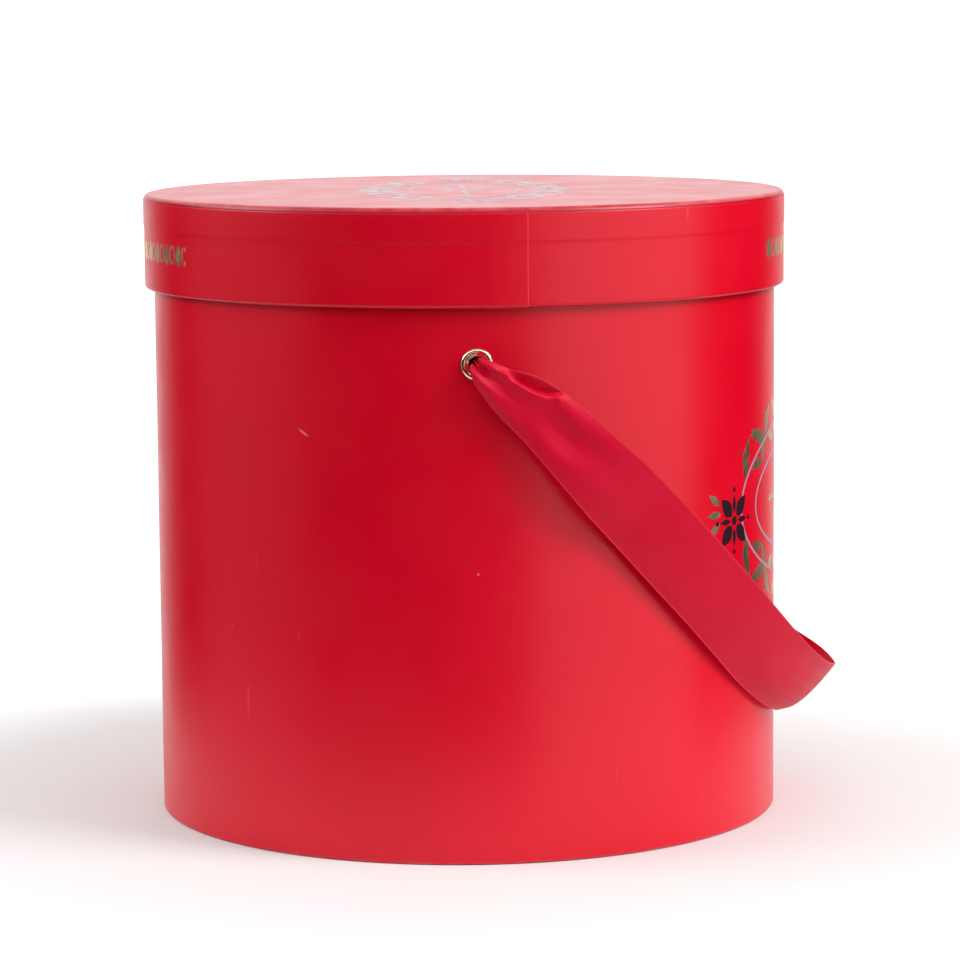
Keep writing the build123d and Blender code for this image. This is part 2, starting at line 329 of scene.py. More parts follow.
class Nodes:
    """Short calls to build the node tree of one material or world."""

    def __init__(self, name, kind="materials", shader="Principled BSDF"):
        self.owner = getattr(bpy.data, kind).new(name)
        self.owner.use_nodes = True
        self.tree = self.owner.node_tree
        self.shader = self.tree.nodes[shader]

    def node(self, kind, **settings):
        made = self.tree.nodes.new("ShaderNode" + kind)
        for key, value in settings.items():
            setattr(made, key, value)
        return made

    def link(self, out, into):
        self.tree.links.new(out, into)

    def put(self, value, socket):
        if isinstance(value, tuple):
            socket.default_value = (*value, 1)
        elif isinstance(value, (int, float)):
            socket.default_value = value
        else:
            self.link(value, socket)

    def constants(self, **values):
        for key, value in values.items():
            self.shader.inputs[key.replace("_", " ")].default_value = value

    def coordinates(self, stretch=(1, 1, 1), kind="Object", turn=(0, 0, 0)):
        place = self.node("TexCoord").outputs[kind]
        return self.fill(self.node("Mapping"), place, Scale=stretch, Rotation=turn)["Vector"]

    def fill(self, made, vector, **values):
        self.link(vector, made.inputs["Vector"])
        for key, value in values.items():
            made.inputs[key.replace("_", " ")].default_value = value
        return made.outputs

    def noise(self, vector, scale, detail=3.0, roughness=0.5, distortion=0.0):
        made = self.node("TexNoise")
        return self.fill(made, vector, Scale=scale, Detail=detail, Roughness=roughness,
                         Distortion=distortion)["Fac"]

    def bands(self, vector, direction, scale, distortion, detail, detail_scale):
        made = self.node("TexWave", bands_direction=direction)
        return self.fill(made, vector, Scale=scale, Distortion=distortion, Detail=detail,
                         Detail_Scale=detail_scale)["Fac"]

    def spread(self, value, low, high, into_low=0.0, into_high=1.0):
        made = self.node("MapRange", interpolation_type="SMOOTHSTEP")
        self.put(value, made.inputs["Value"])
        keys = ("From Min", "From Max", "To Min", "To Max")
        for key, number in zip(keys, (low, high, into_low, into_high)):
            made.inputs[key].default_value = number
        return made.outputs["Result"]

    def maths(self, operation, a, b=0.0):
        made = self.node("Math", operation=operation)
        for socket, value in zip(made.inputs, (a, b)):
            self.put(value, socket)
        return made.outputs[0]

    def length(self, vector):
        made = self.node("VectorMath", operation="LENGTH")
        self.link(vector, made.inputs[0])
        return made.outputs["Value"]

    def mix(self, share, a, b):
        made = self.node("Mix", data_type="RGBA")
        for number, value in ((0, share), (6, a), (7, b)):
            self.put(value, made.inputs[number])
        return made.outputs[2]

    def bump(self, height, distance, normal=None):
        made = self.node("Bump")
        made.inputs["Distance"].default_value = distance
        self.link(height, made.inputs["Height"])
        if normal:
            self.link(normal, made.inputs["Normal"])
        return made.outputs["Normal"]

    def finish(self, colour=None, roughness=None, normal=None):
        for value, key in ((colour, "Base Color"), (roughness, "Roughness"), (normal, "Normal")):
            if value is not None:
                self.link(value, self.shader.inputs[key])
        return self.owner


# ---- materials

FLOOR_RADIUS = 0.36  # metres


def red_wrap_material(name, light, dark, swelling):
    """Satin-laminated paper printed deep red, with faint rubbing, dust and scratches, and a faint painted
    highlight along the lid's lower rim.
    """
    n = Nodes(name)
    where = n.coordinates()
    cloud = n.noise(where, 16, 4)
    grain = n.noise(where, 2600, 2)
    colour = n.mix(n.spread(cloud, 0.3, 0.7), dark, light)
    colour = n.mix(n.spread(grain, 0.2, 0.8, 0.0, 0.16), colour, (0.46, 0.0, 0.010))

    # sparse short scratches, long up the wall and fine across it
    streaks = n.noise(n.coordinates((520, 520, 34), turn=(0.18, 0.32, 0.1)), 1, 1, 0.3, 0.4)
    patches = n.noise(where, 21, 2)
    scratch = n.maths("MULTIPLY", n.spread(streaks, 0.76, 0.80), n.spread(patches, 0.55, 0.62))
    specks = n.fill(n.node("TexVoronoi"), where, Scale=150)
    speck = n.spread(specks["Distance"], 0.05, 0.09, 1.0, 0.0)
    rare = n.node("SeparateColor")
    n.link(specks["Color"], rare.inputs[0])
    speck = n.maths("MULTIPLY", speck, n.spread(rare.outputs[0], 0.965, 0.97))
    mark = n.maths("MAXIMUM", n.maths("MULTIPLY", scratch, 0.17), n.maths("MULTIPLY", speck, 0.55))

    # one light knock, on the wall to the left of the front eyelet
    knock = n.fill(n.node("Mapping", vector_type="TEXTURE"), where,
                   Location=(-55.5 * MM, -91.0 * MM, 139.6 * MM), Rotation=(0, radians(32), radians(-29)),
                   Scale=(2.8 * MM, 2 * MM, 0.6 * MM))["Vector"]
    mark = n.maths("MAXIMUM", mark, n.spread(n.length(knock), 0.3, 1.0, 0.8, 0.0))

    # rubbed edges, where the ink has thinned; along the lid's lower rim the paler colour is also a painted
    # highlight of the rounded edge catching the light
    parts, flat = n.node("SeparateXYZ"), n.node("CombineXYZ")
    n.link(where, parts.inputs[0])
    for axis in "XY":
        n.link(parts.outputs[axis], flat.inputs[axis])
    height, radius = parts.outputs["Z"], n.length(flat.outputs[0])
    top = n.maths("MULTIPLY", n.spread(height, (LID_TOP - 1.5) * MM, (LID_TOP - 0.3) * MM),
                n.spread(radius, (LID_RADIUS - 2.6) * MM, (LID_RADIUS - 1.2) * MM))
    # the lid's lower rim: partly rubbed ink, partly a painted highlight of the edge catching the light
    rim = n.maths("MULTIPLY", n.spread(height, LID_FOOT * MM, (LID_FOOT + 0.7) * MM, 1.0, 0.0),
                n.spread(radius, (LID_RADIUS - 2.0) * MM, (LID_RADIUS - 1.0) * MM))
    base = n.spread(height, 0.3 * MM, 1.1 * MM, 1.0, 0.0)
    edges = n.maths("MAXIMUM", n.maths("MAXIMUM", top, n.maths("MULTIPLY", rim, 0.15)), base)
    rub_and_rim_highlight = n.maths("MULTIPLY", edges, n.spread(n.noise(where, 140, 4), 0.35, 0.7, 0.1, 0.45))
    mark = n.maths("MAXIMUM", mark, rub_and_rim_highlight)
    colour = n.mix(mark, colour, (0.78, 0.16, 0.18))

    roughness = n.spread(n.noise(where, 48, 3), 0.3, 0.7, 0.285, 0.34)
    roughness = n.maths("ADD", roughness, n.maths("MULTIPLY", mark, 0.2))
    peel = n.bump(n.noise(where, 620, 2), 9e-6)
    swell = n.bump(n.noise(where, 55, 2), swelling, peel)
    n.constants(IOR=1.43)
    return n.finish(colour, roughness, swell)


def cut_edge_material():
    """The pale core of the paper where it is cut."""
    n = Nodes("paper_cut_edge")
    fibres = n.noise(n.coordinates((1, 1, 6)), 900, 3)
    colour = n.mix(n.spread(fibres, 0.3, 0.7), (0.60, 0.02, 0.04), (0.68, 0.09, 0.11))
    n.constants(Roughness=0.8)
    return n.finish(colour, None, n.bump(fibres, 2e-5))


def lining_material():
    """Uncoated off-white lining paper with visible fibres."""
    n = Nodes("lining_paper")
    where = n.coordinates()
    fibres = n.noise(n.coordinates((260, 260, 90), turn=(0.3, 0.2, 0)), 3, 4, 0.6, 0.8)
    cloud = n.noise(where, 24, 4)
    colour = n.mix(n.spread(cloud, 0.3, 0.7), (0.74, 0.69, 0.60), (0.82, 0.78, 0.70))
    colour = n.mix(n.spread(fibres, 0.62, 0.8, 0, 0.25), colour, (0.55, 0.48, 0.38))
    n.constants(Roughness=0.85)
    return n.finish(colour, None, n.bump(n.noise(where, 900, 4), 2.5e-5))


def greyboard_material():
    """Grey recycled board with darker and lighter flecks."""
    n = Nodes("greyboard")
    where = n.coordinates()
    flecks = n.noise(where, 700, 4, 0.7)
    colour = n.mix(n.spread(flecks, 0.35, 0.65), (0.20, 0.185, 0.16), (0.34, 0.32, 0.28))
    n.constants(Roughness=0.9)
    return n.finish(colour, None, n.bump(flecks, 4e-5))


def brass_material():
    """Bright pale gold plate with fine turning marks and a little tarnish."""
    n = Nodes("eyelet_brass")
    where = n.coordinates()
    tarnish = n.noise(where, 520, 4)
    colour = n.mix(n.spread(tarnish, 0.35, 0.7), (0.93, 0.84, 0.62), (0.80, 0.66, 0.40))
    roughness = n.spread(n.noise(where, 1400, 3), 0.3, 0.7, 0.13, 0.24)
    n.constants(Metallic=1.0)
    return n.finish(colour, roughness, n.bump(n.noise(where, 2600, 2), 4e-6))


def foil_material(name, dark, light, edge_on):
    """Hot-stamped foil, uneven as the paper is, with a few worn pinholes and a tint when seen edge-on."""
    n = Nodes(name)
    where = n.coordinates()
    cloud = n.noise(where, 90, 3)
    colour = n.mix(n.spread(cloud, 0.3, 0.7), dark, light)
    worn = n.spread(n.noise(where, 1500, 3, 0.7), 0.70, 0.76)
    colour = n.mix(n.maths("MULTIPLY", worn, 0.7), colour, (0.5, 0.12, 0.08))
    roughness = n.spread(n.noise(where, 300, 3), 0.3, 0.7, 0.30, 0.38)
    n.constants(Metallic=1.0)
    n.shader.inputs["Specular Tint"].default_value = (*edge_on, 1)
    peel = n.bump(n.noise(where, 620, 2), 7e-6)
    return n.finish(colour, roughness, n.bump(n.noise(where, 55, 2), 4e-5, peel))


def ink_material(name, dark, light, roughness):
    """Ink printed on the wrap, slightly uneven."""
    n = Nodes(name)
    where = n.coordinates()
    uneven = n.noise(where, 1100, 4, 0.7)
    n.constants(Roughness=roughness)
    colour = n.mix(n.spread(uneven, 0.35, 0.75), dark, light)
    return n.finish(colour, None, n.bump(n.noise(where, 620, 2), 9e-6))


def satin_material():
    """Crimson satin ribbon: fine picks across it, floats along it, and lighter woven edges."""
    n = Nodes("satin_ribbon")
    uv = n.coordinates(kind="UV")
    period = 0.314  # of the wave texture at a scale of 1
    picks = n.bands(uv, "X", period / (0.42 * MM), 0.35, 1, 2)
    floats = n.bands(uv, "Y", period / (0.30 * MM), 0.8, 2, 1.5)
    streaks = n.noise(n.coordinates((7, 900, 1), "UV"), 1, 3, 0.6)
    cloud = n.noise(n.coordinates((30, 60, 1), "UV"), 1, 3)
    colour = n.mix(n.spread(streaks, 0.25, 0.75), (0.61, 0.0, 0.022), (0.65, 0.001, 0.029))
    colour = n.mix(n.spread(cloud, 0.35, 0.7, 0, 0.3), colour, (0.67, 0.008, 0.045))
    colour = n.mix(n.spread(picks, 0.0, 1.0, 0.22, 0.0), colour, (0.34, 0.0, 0.016))
    across = n.node("SeparateXYZ")
    n.link(uv, across.inputs[0])
    edge = n.spread(n.maths("ABSOLUTE", across.outputs["Y"]), 11.9 * MM, 12.3 * MM)
    colour = n.mix(n.maths("MULTIPLY", edge, 0.5), colour, (0.72, 0.05, 0.085))
    roughness = n.spread(streaks, 0.3, 0.7, 0.34, 0.44)
    n.constants(Sheen_Weight=0.01, Sheen_Roughness=0.35, Anisotropic=0.4, IOR=1.35, Specular_IOR_Level=0.3)
    n.shader.inputs["Sheen Tint"].default_value = (1.0, 0.55, 0.6, 1)
    tangent = n.node("Tangent", direction_type="UV_MAP", uv_map="UVMap")
    n.link(tangent.outputs[0], n.shader.inputs["Tangent"])
    weave = n.bump(picks, 2.2e-5, n.bump(floats, 1.0e-5))
    return n.finish(colour, roughness, weave)


def floor_material():
    """A plain white studio floor, which fades out towards its edge."""
    n = Nodes("studio_floor")
    where = n.coordinates()
    grain = n.noise(where, 6, 2)
    n.constants(Roughness=0.9, Specular_IOR_Level=0.1)
    fade = n.spread(n.length(where), 0.17, FLOOR_RADIUS - 0.01, 1.0, 0.0)
    n.link(fade, n.shader.inputs["Alpha"])
    return n.finish(n.mix(grain, (0.68, 0.68, 0.68), (0.70, 0.70, 0.70)))


# ---- the box

def add_body_wrap(materials):
    """The red wrap of the box, from under the foot, up the wall and over the rim."""
    inside = TUBE_INNER - PAPER
    path = [(BODY_RADIUS - UNDER_FOOT, PAPER), (BODY_RADIUS - 0.55 * UNDER_FOOT, PAPER)]
    path += arc((BODY_RADIUS - FOOT_CORNER, PAPER + FOOT_CORNER), FOOT_CORNER, -90, 0)[:-1]
    path += wall_run(BODY_RADIUS, PAPER + FOOT_CORNER, RIM_TOP - RIM_CORNER)
    path += arc((BODY_RADIUS - RIM_CORNER, RIM_TOP - RIM_CORNER), RIM_CORNER, 0, 90)
    path += arc((inside + RIM_CORNER, RIM_TOP - RIM_CORNER), RIM_CORNER, 90, 180)
    path += run((inside, RIM_TOP - 2), (inside, RIM_TOP - TURN_IN), 3, ended=True)
    add_skin("body_wrap_paper", path, columns(BODY_SEAM), overlap_lift(BODY_SEAM), materials, "box",
             "red_wrap", ["body_wrap"], EYELET_WINDOWS)


def add_linings(materials):
    """The pale paper inside the box and the lid."""
    turn_foot = RIM_TOP - TURN_IN
    low, high = TUBE_INNER - PAPER, TUBE_INNER - 2 * PAPER
    wall = run((high, reach("wall_lining", 2)), (high, turn_foot), 4)
    wall += [(high, turn_foot + 0.1), (low, turn_foot - 0.7)]
    wall += wall_run(low, turn_foot - 1.5, FLOOR_TOP - PAPER) + [(low, FLOOR_TOP - PAPER)]
    floor = run((low, FLOOR_TOP), (0, FLOOR_TOP), 6, ended=True)
    turned, bare = HOOP_INNER - 2 * PAPER, HOOP_INNER - PAPER
    turn_top = LID_FOOT + TURN_IN
    hoop = run((bare, LID_CEILING + PAPER), (bare, turn_top + 1), 4)
    hoop += [(bare, turn_top + 0.9), (turned, turn_top)]
    hoop += run((turned, turn_top - 1), (turned, foot("hoop_lining")), 4, ended=True)
    ceiling = run((0, LID_CEILING), (bare, LID_CEILING), 6, ended=True)
    for node, path, body, windows in (
            ("wall_lining", wall, "box", EYELET_WINDOWS), ("floor_lining", floor, "box", ()),
            ("hoop_lining", hoop, "lid", ()), ("lid_lining", ceiling, "lid", ())):
        add_skin(f"{node}_paper", path, columns(), flat_lift, materials, body, "lining_paper", [node],
                 windows)


def add_base_cover(materials):
    """The red paper disc on the underside."""
    edge = reach("base_cover")
    path = run((0, 0), (edge, 0), 6, ended=True)
    add_skin("base_cover_paper", path, columns(), raised_lift, materials, "box", "red_wrap", ["base_cover"])


def add_lid_wraps(materials, shaded_top_materials):
    """The two papers of the lid: the top one with its turned-down edge, and the band over that edge."""
    inner = LID_RADIUS - PAPER
    top = run((inner, TOP_WRAP_FOOT), (inner, LID_TOP - LID_CORNER), 3)
    top += arc((inner - LID_CORNER, LID_TOP - LID_CORNER), LID_CORNER, 0, 90, 10)
    top += run((inner - LID_CORNER - 1.2, LID_TOP), (0, LID_TOP), 5, ended=True)
    # the top paper takes the darker copy of the red paper: painted shade for the light that falls on the top
    add_skin("lid_top_paper", top, columns(), flat_lift, shaded_top_materials, "lid", "red_wrap", ["lid_top_wrap"])

    # the band is drawn in over the step that the turned-down edge makes under it
    turned = HOOP_INNER - PAPER
    fold = 0.5
    band = run((turned, LID_FOOT + TURN_IN), (turned, LID_FOOT + 1), 3)
    band += arc((turned + fold, LID_FOOT + fold), fold, 180, 270, 4)
    band += arc((inner - LID_FOOT_CORNER, LID_FOOT + LID_FOOT_CORNER), LID_FOOT_CORNER, -90, 0, 8)
    step_low = TOP_WRAP_FOOT - 1.4
    band += run((inner, LID_FOOT + LID_FOOT_CORNER + 1), (inner, step_low), 3)
    band += [(inner + PAPER * smooth_step(k, 0, 6), step_low + 1.8 * k / 6) for k in range(7)]
    band += run((LID_RADIUS, TOP_WRAP_FOOT + 0.8), (LID_RADIUS, BAND_TOP - 0.3), 3, ended=True)
    band += [(LID_RADIUS - 0.03, BAND_TOP - 0.08), (LID_RADIUS - 0.08, BAND_TOP)]
    add_skin("lid_band_paper", band, columns(LID_SEAM), overlap_lift(LID_SEAM), materials, "lid", "red_wrap",
             ["lid_band_wrap"])


def add_eyelet(side, end, material):
    """A rolled brass eyelet and the washer inside that it is clinched over. side is -1 front, 1 rear."""
    clinch, lip, lip_middle, washer = 0.5, 0.25, 3.55, 0.4
    dome = EYELET_FACE - BODY_RADIUS
    rolled = [(5.2, -0.05), (5.2, 0.30), (5.14, 0.58), (4.98, 0.82), (4.74, 1.0), (4.46, 1.09), (4.18, 1.08),
              (3.92, 0.97), (3.7, 0.8), (3.5, 0.66), (3.3, 0.59), (3.1, 0.58), (2.88, 0.54), (2.68, 0.42),
              (2.52, 0.2), (2.43, -0.15)]
    outline = [(radius, BODY_RADIUS + out * dome / 1.1) for radius, out in rolled]
    outline += [(EYELET_BORE, EYELET_BACK + 0.3)]
    outline += [(EYELET_BORE + lip - lip * cos(a), EYELET_BACK + lip - lip * sin(a))
                for a in [radians(k) for k in (30, 60, 90)]]
    outline += [(lip_middle + lip * sin(a), EYELET_BACK + lip - lip * cos(a))
                for a in [radians(k) for k in (0, 45, 90)]]
    face = EYELET_BACK + clinch
    outline += [(lip_middle + lip, face), (EYELET_HOLE, face), (EYELET_HOLE, BODY_RADIUS)]
    turned_piece(f"eyelet_{end}_rolled", outline, side, material, [f"eyelet_{end}"])
    outer = reach(f"eyelet_washer_{end}")
    inner, back = EYELET_HOLE + 0.02, face + washer
    ring = [(inner, face), (outer - 0.12, face), (outer, face + 0.12), (outer, back - 0.05),
            (outer - 0.05, back), (inner, back)]
    turned_piece(f"eyelet_washer_{end}_ring", ring, side, material, [f"eyelet_washer_{end}"])


def turned_piece(name, outline, side, material, replaces):
    """A ring turned about the line of the eyelets from a closed outline of (radius, distance out)."""
    steps = 96
    points = []
    for k in range(steps):
        a = 2 * pi * k / steps
        points += [(r * cos(a), side * out, EYELET_HEIGHT + r * sin(a)) for r, out in outline]
    add_mesh(name, points, ring_faces(steps, len(outline)), [material], "box", "eyelet_brass", replaces)


# ---- the ribbon

RIBBON_WIDTH = 25.4
RIBBON_THICKNESS = 0.3
LOOP_DEPTH = 172.0
LOOP_RADIUS = 111.8
LOOP_BEND = 3.2
LOOP_STRAIGHT, LOOP_ROUND = 40.0, 76.0  # depths between which the loop's sides turn into half an ellipse
LOOP_FREE = 30.0  # how far down the loop it is clear of the eyelets
WALL_GAP, WALL_SOFTNESS = 0.35, 0.8  # between the middle of the ribbon's cloth and the wall
LOOP_DROOP = radians(46.5)
AWAY = Vector((cos(LOOP_DROOP), 0, -sin(LOOP_DROOP)))  # from the eyelets' line to the far end of the loop
ACROSS = Vector((sin(LOOP_DROOP), 0, cos(LOOP_DROOP)))  # across the ribbon, from its lower to its upper edge
MOUTH = BODY_RADIUS + 1.0  # how far out the ribbon leaves the eyelet

# Sections of the ribbon by how far they are from the eyelets' line, with less than LOOP_BEND for what comes
# before the loop: nine points from the lower edge to the upper one, each (across, outwards). The ribbon is
# bunched in the bore, then opens with a fold that overhangs a hollow pocket under its upper edge, and is
# nearly flat from 46 mm on.
BUNCHED = [(-1.7, 0.2), (-1.4, -0.9), (-0.9, 1.2), (-0.3, -1.0), (0.2, 1.5), (0.7, -0.8), (1.0, 1.2),
           (1.4, -0.8), (1.8, 0.3)]
SECTIONS = [
    (-20.0, BUNCHED),
    (-3.2, BUNCHED),
    (-1.2, [(-2.7, -0.2), (-2.3, 0.9), (-1.5, 1.5), (-0.6, 0.2), (0.1, -0.7), (0.9, 0.1), (1.7, 1.3),
            (2.3, 1.0), (2.8, -0.3)]),
    (3.0, [(-4.4, -0.3), (-3.7, 0.9), (-2.5, 1.5), (-1.2, 0.6), (-0.2, -0.6), (1.0, 0.1), (2.2, 1.7),
           (3.6, 1.7), (4.4, 0.3)]),
    (8.0, [(-5.2, -0.1), (-4.1, 1.1), (-2.4, 1.6), (-0.5, 1.0), (1.2, 0.7), (3.2, 1.7), (4.9, 1.9),
           (5.2, 0.3), (6.7, -0.4)]),
    (13.0, [(-5.9, 0.1), (-4.2, 1.2), (-1.8, 1.5), (0.8, 1.2), (3.2, 1.7), (5.2, 2.2), (5.6, 0.5),
            (5.9, -1.5), (9.9, 0.2)]),
    (18.0, [(-6.1, 0.1), (-4.0, 1.1), (-1.3, 1.3), (1.6, 1.3), (4.3, 1.7), (6.6, 2.1), (7.1, 0.5),
            (7.3, -1.3), (12.1, 0.2)]),
    (22.0, [(-6.1, 0.1), (-3.9, 1.0), (-1.2, 1.2), (1.8, 1.2), (4.9, 1.5), (8.1, 2.0), (9.4, 0.8),
            (9.8, -1.0), (13.1, 0.2)]),
    (25.0, [(-6.1, 0.1), (-3.8, 0.9), (-1.1, 1.2), (1.9, 1.1), (5.1, 1.1), (8.5, 1.6), (11.2, 1.9),
            (12.6, 1.0), (13.7, 0.3)]),
    (28.5, [(-6.1, 0.1), (-3.8, 0.9), (-1.3, 1.2), (1.3, 1.0), (4.0, 0.8), (6.8, 1.1), (9.7, 1.6),
            (12.1, 1.4), (14.1, 0.5)]),
    (34.0, [(-6.4, 0.1), (-3.9, 0.9), (-1.3, 1.1), (1.4, 0.6), (4.1, 0.1), (6.9, 0.5), (9.7, 1.3),
            (12.4, 1.2), (14.8, 0.4)]),
    (40.0, [(-6.8, 0.1), (-4.1, 0.8), (-1.3, 1.0), (1.5, 0.5), (4.3, 0.1), (7.1, 0.3), (10.0, 0.9),
            (12.8, 1.0), (15.4, 0.4)]),
]


def level_section(low, high, outwards):
    """A nearly flat section between two heights across the ribbon."""
    return [(low + (high - low) * k / 8, out) for k, out in enumerate(outwards)]


SECTIONS += [
    (46.0, level_section(-7.2, 15.7, [0.1, 0.6, 0.9, 0.8, 0.5, 0.3, 0.5, 0.7, 0.3])),
    (60.0, level_section(-8.3, 16.7, [0.1, 0.5, 0.8, 0.9, 0.7, 0.5, 0.4, 0.4, 0.1])),
    (86.0, level_section(-9.5, 16.4, [0.0, 0.4, 0.6, 0.6, 0.5, 0.5, 0.6, 0.5, 0.1])),
    (112.0, level_section(-10.7, 15.1, [0.0, 0.4, 0.7, 0.8, 0.7, 0.5, 0.4, 0.3, 0.0])),
    (128.0, level_section(-12.0, 13.9, [0.0, 0.3, 0.5, 0.6, 0.7, 0.7, 0.6, 0.3, 0.0])),
    (142.0, level_section(-13.2, 12.8, [0.0, 0.3, 0.6, 0.8, 0.8, 0.7, 0.5, 0.3, 0.0])),
    (155.0, level_section(-13.2, 12.2, [-0.3, 0.4, 0.9, 1.1, 1.0, 0.8, 0.5, 0.2, 0.0])),
    (165.0, level_section(-12.2, 12.4, [-1.2, 0.3, 1.0, 1.3, 1.3, 1.1, 0.8, 0.4, 0.0])),
    (172.0, level_section(-11.2, 13.3, [-2.2, -0.1, 0.9, 1.3, 1.4, 1.3, 1.0, 0.6, 0.2])),
    (180.0, level_section(-11.2, 13.3, [-2.2, -0.1, 0.9, 1.3, 1.4, 1.3, 1.0, 0.6, 0.2])),
]


def half_route():
    """The middle line of the front half of the loop, from the knot to the far end, as (distance, out)."""
    in_bore, in_bend, in_loop = 12, 24, 400  # steps
    bend_start = LOOP_RADIUS - LOOP_BEND
    points = [(0.0, KNOT_FACE - 1 + (bend_start - KNOT_FACE + 1) * k / in_bore) for k in range(in_bore)]
    for k in range(in_bend):
        a = pi / 2 * k / in_bend
        points.append((LOOP_BEND - LOOP_BEND * cos(a), bend_start + LOOP_BEND * sin(a)))
    for k in range(in_loop + 1):
        a = pi / 2 * k / in_loop
        depth = LOOP_BEND + (LOOP_DEPTH - LOOP_BEND) * sin(a)
        rounding = smooth_step(depth, LOOP_STRAIGHT, LOOP_ROUND)
        points.append((depth, LOOP_RADIUS * (1 - rounding + rounding * cos(a))))
    return points, in_bore + in_bend


def measured(points):
    """The distances along a route of points, with 0 at the mouth of the eyelet."""
    lengths = [0.0]
    for a, b in zip(points, points[1:]):
        lengths.append(lengths[-1] + hypot(b[0] - a[0], b[1] - a[1]))
    start = MOUTH - points[0][1]
    return [length - start for length in lengths]


def curve_through(a, b, c, d, share):
    """A smooth curve from b to c that comes from a and goes on to d."""
    s2, s3 = share * share, share ** 3
    return 0.5 * (2 * b + (c - a) * share + (2 * a - 5 * b + 4 * c - d) * s2 + (3 * b - a - 3 * c + d) * s3)


def section_at(depth):
    """The ribbon's section at a depth of the loop, as smooth (across, outwards) points."""
    steps = 40
    k = next((i for i in range(1, len(SECTIONS) - 1) if depth <= SECTIONS[i][0]), len(SECTIONS) - 1)
    near = [SECTIONS[min(max(i, 0), len(SECTIONS) - 1)] for i in range(k - 2, k + 2)]
    share = min(max((depth - near[1][0]) / (near[2][0] - near[1][0]), 0), 1)
    corners = [[curve_through(*[s[1][j][axis] for s in near], share) for axis in (0, 1)] for j in range(9)]
    made = []
    for step in range(steps + 1):
        place = 8 * step / steps
        j = min(int(place), 7)
        four = [corners[min(max(i, 0), 8)] for i in range(j - 1, j + 3)]
        made.append([curve_through(*[p[axis] for p in four], place - j) for axis in (0, 1)])
    return made


def shaped(section, depth, along, side):
    """A section with the slight waves of soft cloth, and on the rear half the sag of that half."""
    sag = 4.0 * side * smooth_step(depth, 15, 60) * smooth_step(LOOP_DEPTH - depth, -1.0, 17)
    wave = 0.55 * smooth_step(depth, 30, 55)
    made = []
    for across, outwards in section:
        bend = noise.noise(Vector((along / 30, across / 17, 3.7 + 5 * side)))
        ripple = noise.noise(Vector((along / 11, across / 12, 8.1 + 5 * side)))
        made.append((across - sag, outwards + wave * (bend + 0.25 * ripple)))
    return made


def add_ribbon(material):
    """The handle: one length of satin ribbon from the front knot round the loop to the rear knot."""
    route, loop_start = half_route()
    lengths = measured(route)
    half_length = lengths[-1]
    stops, distance = [], lengths[0]
    while distance < half_length - 0.5:
        stops.append(distance)
        distance += 0.6 if distance < 40 else 1.5
    stops.append(half_length)
    ahead = lengths[loop_start] - LOOP_BEND  # of the distance over the depth, where the loop begins
    rows = {}
    for side in (0, 1):
        rows[side] = []
        for distance in stops:
            k = min(max(i for i in range(len(lengths)) if lengths[i] <= distance + 1e-9), len(route) - 2)
            a, b = Vector(route[k]), Vector(route[k + 1])
            place = a.lerp(b, (distance - lengths[k]) / (lengths[k + 1] - lengths[k]))
            along = (b - a).normalized()
            depth = place[0] if k >= loop_start else distance - ahead
            section = shaped(section_at(depth), depth, distance, side)
            rows[side].append((distance, place, Vector((-along[1], along[0])), section))
    add_strip("ribbon_handle_satin", rows, half_length, material)
    for side, end in ((-1, "front"), (1, "rear")):
        add_knot(side, end, material)


def add_strip(name, rows, half_length, material):
    """The ribbon's two halves as one strip of cloth."""
    whole = [(d, p, out, s, -1) for d, p, out, s in rows[0]]
    whole += [(2 * half_length - d, p, out, s, 1) for d, p, out, s in reversed(rows[1][:-1])]
    lines = []
    for distance, place, out, section, side in whole:
        line = []
        for j, (across, outwards) in enumerate(section):
            before, after = section[max(j - 1, 0)], section[min(j + 1, len(section) - 1)]
            dx, dy = after[0] - before[0], after[1] - before[1]
            size = hypot(dx, dy)
            way = Vector((-dy / size, dx / size))
            spot = loop_spot(place, out, across, outwards, side)
            normal = loop_spot(place, out, across + way[0], outwards + way[1], side) - spot
            line.append(laid_on_wall(spot, normal) if place[0] > LOOP_FREE else (spot, normal))
        lines.append((distance, line))
    piece = add_cloth(name, lines, material, ["ribbon_handle"])


def loop_spot(place, out, across, outwards, side):
    """A point of the loop, by its place in the loop's plane and how far it is across and outwards from it."""
    away, beside = place[0] + outwards * out[0], place[1] + outwards * out[1]
    return AWAY * away + ACROSS * across + Vector((0, side * beside, EYELET_HEIGHT))


def laid_on_wall(spot, normal):
    """A point of the ribbon and its normal, moved out softly where the ribbon would dip into the wall."""
    radial = Vector((spot.x, spot.y, 0))
    room = radial.length - BODY_RADIUS - WALL_GAP
    radial.normalize()
    size = hypot(room, WALL_SOFTNESS)
    pressed = (1 - room / size) / 2
    turned = normal + radial * radial.dot(normal) * pressed / (1 - pressed)
    return spot + radial * (size - room) / 2, turned.normalized()


def add_cloth(name, lines, material, replaces):
    """Woven ribbon: lines of (point, normal) from edge to edge, each with its distance along the ribbon.

    It has a thickness, beaded edges and a UV map in metres of cloth.
    """
    steps, count = len(lines[0][1]), len(lines)
    points, cloth = [], []
    for layer in (0.5, -0.5):
        for distance, line in lines:
            for j, (spot, normal) in enumerate(line):
                edge = max(1 - min(j, steps - 1 - j) / 1.5, 0)
                points.append(spot + normal * RIBBON_THICKNESS * (1 + 0.5 * edge) * layer)
                cloth.append((distance * MM, (j / (steps - 1) - 0.5) * RIBBON_WIDTH * MM))
    return add_mesh(name, points, sheet_faces(0, count, steps), [material], "handle", "satin_ribbon",
                    replaces, sharp=70, cloth=cloth)


